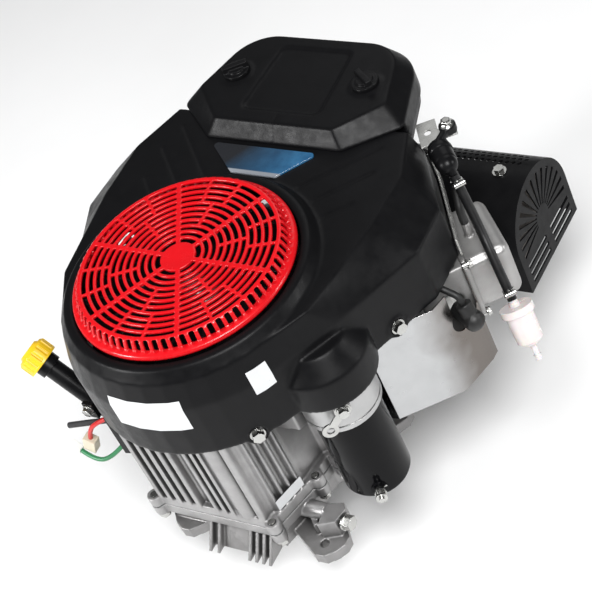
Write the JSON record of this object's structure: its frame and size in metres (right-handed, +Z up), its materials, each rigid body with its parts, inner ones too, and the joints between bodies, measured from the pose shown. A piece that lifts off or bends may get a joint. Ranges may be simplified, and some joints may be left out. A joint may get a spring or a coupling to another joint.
{
  "type": "small gasoline engine",
  "caption": "Vertical-shaft V-twin small engine with a rotating screen, blower housing, air cleaner, electric starter, guarded muffler and fuel hose with filter.",
  "frame": {"origin": "on the crankshaft axis, in the plane of the mounting feet", "axes": "+Z up along the crankshaft towards the rotating screen, +Y towards the air cleaner, +X towards the right-hand cylinder"},
  "size_m": [0.5271, 0.5351, 0.4355],
  "materials": {
    "cast_alu": "as cast, fine grain",
    "cast_alu_light": "as cast, light",
    "alu_machined": "machined",
    "alu_dark": "die cast, dull",
    "gasket": "pressed fibre",
    "zinc": "zinc plated",
    "zinc_sheet": "bright zinc sheet",
    "steel": "machined",
    "burnt_steel": "dull aluminised",
    "ceramic_steel": "glazed with a plated hexagon",
    "cast_iron": "machined cast",
    "black_metal": "satin black",
    "guard_black": "satin heat-proof black",
    "gloss_black": "gloss black",
    "housing_black": "fine grain",
    "black_plastic": "moulded",
    "red_plastic": "gloss",
    "badge": "gloss, blank",
    "label": "blank film label",
    "yellow_plastic": "moulded",
    "white_plastic": "moulded",
    "beige_plastic": "moulded",
    "filter_white": "translucent white",
    "filter_paper": "pleated",
    "black_rubber": "matt",
    "hose_rubber": "satin",
    "red_wire": "insulation",
    "green_wire": "insulation"
  },
  "bodies": {
    "engine": {"crankcase": "cast_alu", "gaskets": "gasket", "sump": "cast_alu", "case_bolts": "zinc", "drain_plug": "zinc", "oil_tube": "black_metal", "harness_clip": "black_plastic", "charge_lead": "red_wire", "charge_plug": "beige_plastic", "stop_lead": "green_wire", "stop_plug": "white_plastic", "harness_sleeve": "black_rubber", "regulator": "alu_dark", "bearings": "steel", "back_plate": "black_metal", "cylinders": "cast_alu", "heads": "cast_alu_light", "valve_covers": "cast_alu_light", "plug_caps": "black_rubber", "air_guides": "zinc_sheet", "exhaust_pipes": "burnt_steel", "valve_cover_bolts": "zinc", "spark_plugs": "ceramic_steel", "plug_leads": "black_rubber", "ignition_coils": "black_plastic", "blower_housing": "housing_black", "housing_bolts": "zinc", "badge": "badge", "labels": "label", "air_cleaner_base": "black_plastic", "air_filter": "filter_paper", "carburettor": "alu_dark", "intake_manifold": "cast_alu", "muffler": "burnt_steel", "muffler_guard": "guard_black", "starter_can": "gloss_black", "starter_nose": "alu_machined", "ring_terminal": "zinc", "control_bracket": "zinc_sheet", "fuel_pump": "black_plastic", "breather_hose": "black_rubber", "fuel_hose": "hose_rubber", "hose_clamps": "zinc", "fuel_filter": "filter_white"},
    "crank": {"crankshaft": "steel", "flywheel": "cast_iron", "ring_gear": "steel", "flywheel_nut": "zinc", "fan": "black_plastic", "screen": "red_plastic"},
    "cam": {"camshaft": "steel"},
    "piston_right": {"piston_right": "alu_machined"},
    "piston_left": {"piston_left": "alu_machined"},
    "starter_drive": {"starter_drive": "steel"},
    "air_cleaner_cover": {"air_cleaner_cover": "housing_black"},
    "knob_left": {"knob_left": "black_plastic"},
    "knob_right": {"knob_right": "black_plastic"},
    "oil_cap": {"oil_cap": "yellow_plastic"},
    "throttle": {"throttle_lever": "zinc"},
    "choke": {"choke_lever": "zinc"}
  },
  "joints": [
    {"name": "crank_spin", "type": "hinge", "parent": "engine", "child": "crank", "pos_m": [0, 0, 0.1], "axis": [0, 0, 1], "continuous": true},
    {"name": "cam_spin", "type": "hinge", "parent": "engine", "child": "cam", "pos_m": [-0.056, -0.026, 0.07], "axis": [0, 0, 1], "continuous": true},
    {"name": "piston_right_stroke", "type": "slide", "parent": "engine", "child": "piston_right", "axis": [0.7071, 0.7071, 0], "range_m": [-0.05, 0.02]},
    {"name": "piston_left_stroke", "type": "slide", "parent": "engine", "child": "piston_left", "axis": [-0.7071, 0.7071, 0], "range_m": [-0.05, 0.02]},
    {"name": "starter_spin", "type": "hinge", "parent": "engine", "child": "starter_drive", "pos_m": [0.134, -0.014, 0.238], "axis": [0, 0, 1], "continuous": true},
    {"name": "cover_lift", "type": "slide", "parent": "engine", "child": "air_cleaner_cover", "axis": [0, 0, 1], "range_m": [0, 0.06]},
    {"name": "knob_left_turn", "type": "hinge", "parent": "air_cleaner_cover", "child": "knob_left", "pos_m": [-0.0815, 0.266, 0.345], "axis": [0, 0, 1], "range_deg": [0, 90]},
    {"name": "knob_right_turn", "type": "hinge", "parent": "air_cleaner_cover", "child": "knob_right", "pos_m": [0.0815, 0.266, 0.345], "axis": [0, 0, 1], "range_deg": [-90, 0]},
    {"name": "oil_cap_pull", "type": "slide", "parent": "engine", "child": "oil_cap", "axis": [-0.6882, 0.0291, 0.7249], "range_m": [0, 0.135]},
    {"name": "throttle_turn", "type": "hinge", "parent": "engine", "child": "throttle", "pos_m": [0.052, 0.234, 0.228], "axis": [1, 0, 0], "range_deg": [0, 75]},
    {"name": "choke_turn", "type": "hinge", "parent": "engine", "child": "choke", "pos_m": [-0.052, 0.276, 0.24], "axis": [1, 0, 0], "range_deg": [0, 75]}
  ],
  "couplings": [
    {"joint": "cam_spin", "follows": "crank_spin", "ratio": -0.5}
  ]
}
